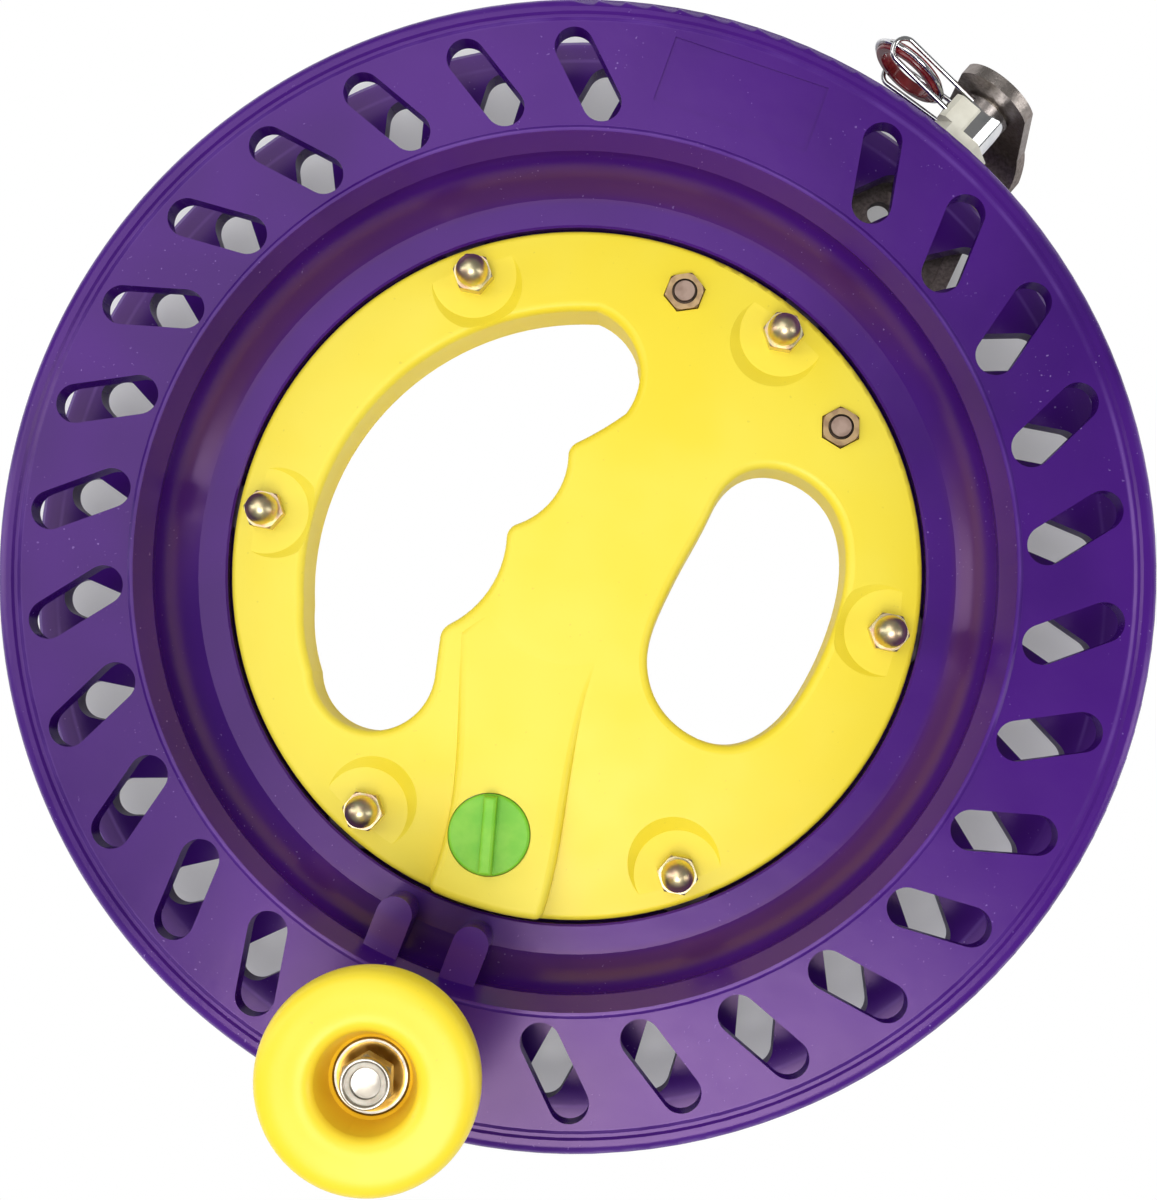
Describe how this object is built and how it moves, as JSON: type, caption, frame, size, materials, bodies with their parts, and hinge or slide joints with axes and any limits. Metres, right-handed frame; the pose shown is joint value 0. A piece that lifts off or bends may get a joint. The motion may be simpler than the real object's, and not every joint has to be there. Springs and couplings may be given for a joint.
{
  "type": "hand-held kite line reel",
  "caption": "Round kite line reel: a grooved wheel with slotted flanges runs on bearings round a hand-held hub with grip openings, lock, winding knob and swivelling line eye.",
  "frame": {"origin": "on the wheel's axis, at the back face of the hub's grip that the reel rests on", "axes": "+Z along the wheel's axis towards the front, where the winding knob stands; +Y towards the top of the reel; +X to its right, seen from the front"},
  "size_m": [0.22, 0.22, 0.0841],
  "materials": {
    "purple_plastic": "glossy violet moulding",
    "yellow_plastic": "smooth yellow moulding",
    "knob_yellow": "smooth warm yellow moulding",
    "green_plastic": "smooth green moulding",
    "zinc_gold": "yellow zinc plating",
    "steel": "plain steel",
    "bearing_steel": "ground steel",
    "cast_arm": "rough casting",
    "bright_wire": "bright plating",
    "cream_plastic": "plain cream moulding",
    "eye_red": "dark red glaze",
    "nylon": "plain nylon"
  },
  "bodies": {
    "hub": {"hub_front": "yellow_plastic", "hub_back": "yellow_plastic", "hub_bolts": "zinc_gold", "acorn_nuts": "zinc_gold", "bearing_spacers": "steel", "bearing_inner_rings": "bearing_steel", "bearing_balls": "bearing_steel", "arm_bolts": "steel", "arm_nuts": "zinc_gold", "guide_arm": "cast_arm", "swivel_bolt": "steel", "swivel_washer": "steel", "swivel_nut": "steel", "lock_plate": "nylon", "lock_plate_screws": "steel"},
    "wheel": {"wheel_front": "purple_plastic", "wheel_back": "purple_plastic", "wheel_screws": "steel", "knob_bolt": "steel", "knob_washer": "steel", "knob_spacers": "steel", "knob_bearing_inner_rings": "bearing_steel", "knob_nut": "steel"},
    "knob": {"winding_knob": "knob_yellow", "knob_bearing_outer_rings": "bearing_steel"},
    "lock_turner": {"lock_knob": "green_plastic", "lock_knob_screw": "steel", "lock_knob_washer": "steel"},
    "lock_slider": {"lock_bolt": "steel"},
    "guide": {"swivel_barrel": "bright_wire", "swivel_bush": "cream_plastic", "guide_wire": "bright_wire", "guide_ring": "eye_red"},
    "roller_1": {"bearing_ring_1": "bearing_steel"},
    "roller_2": {"bearing_ring_2": "bearing_steel"},
    "roller_3": {"bearing_ring_3": "bearing_steel"},
    "roller_4": {"bearing_ring_4": "bearing_steel"},
    "roller_5": {"bearing_ring_5": "bearing_steel"},
    "roller_6": {"bearing_ring_6": "bearing_steel"}
  },
  "joints": [
    {"name": "wheel_spin", "type": "hinge", "parent": "hub", "child": "wheel", "pos_m": [0, 0, 0.0144], "axis": [0, 0, 1], "continuous": true},
    {"name": "knob_spin", "type": "hinge", "parent": "wheel", "child": "knob", "pos_m": [-0.03144, -0.08805, 0.06], "axis": [0, 0, 1], "continuous": true},
    {"name": "lock_turn", "type": "hinge", "parent": "hub", "child": "lock_turner", "pos_m": [-0.01633, -0.05147, 0.02], "axis": [0, 0, 1], "range_deg": [0, 90]},
    {"name": "lock_slide", "type": "slide", "parent": "hub", "child": "lock_slider", "axis": [-0.3584, -0.9336, 0], "range_m": [0, 0.006]},
    {"name": "guide_swivel", "type": "hinge", "parent": "hub", "child": "guide", "pos_m": [0.07879, 0.08784, 0.021], "axis": [0.6639, 0.7478, 0], "range_deg": [-30, 190]},
    {"name": "roller_1_spin", "type": "hinge", "parent": "hub", "child": "roller_1", "pos_m": [0.04123, 0.0471, 0.0144], "axis": [0, 0, 1], "continuous": true},
    {"name": "roller_2_spin", "type": "hinge", "parent": "hub", "child": "roller_2", "pos_m": [-0.02017, 0.05926, 0.0144], "axis": [0, 0, 1], "continuous": true},
    {"name": "roller_3_spin", "type": "hinge", "parent": "hub", "child": "roller_3", "pos_m": [-0.06141, 0.01216, 0.0144], "axis": [0, 0, 1], "continuous": true},
    {"name": "roller_4_spin", "type": "hinge", "parent": "hub", "child": "roller_4", "pos_m": [-0.04123, -0.0471, 0.0144], "axis": [0, 0, 1], "continuous": true},
    {"name": "roller_5_spin", "type": "hinge", "parent": "hub", "child": "roller_5", "pos_m": [0.02017, -0.05926, 0.0144], "axis": [0, 0, 1], "continuous": true},
    {"name": "roller_6_spin", "type": "hinge", "parent": "hub", "child": "roller_6", "pos_m": [0.06141, -0.01216, 0.0144], "axis": [0, 0, 1], "continuous": true}
  ],
  "couplings": [
    {"joint": "lock_turn", "follows": "lock_slide", "rad_per_m": 261.8},
    {"joint": "roller_1_spin", "follows": "wheel_spin", "ratio": 8.8375},
    {"joint": "roller_2_spin", "follows": "wheel_spin", "ratio": 8.8375},
    {"joint": "roller_3_spin", "follows": "wheel_spin", "ratio": 8.8375},
    {"joint": "roller_4_spin", "follows": "wheel_spin", "ratio": 8.8375},
    {"joint": "roller_5_spin", "follows": "wheel_spin", "ratio": 8.8375},
    {"joint": "roller_6_spin", "follows": "wheel_spin", "ratio": 8.8375}
  ]
}
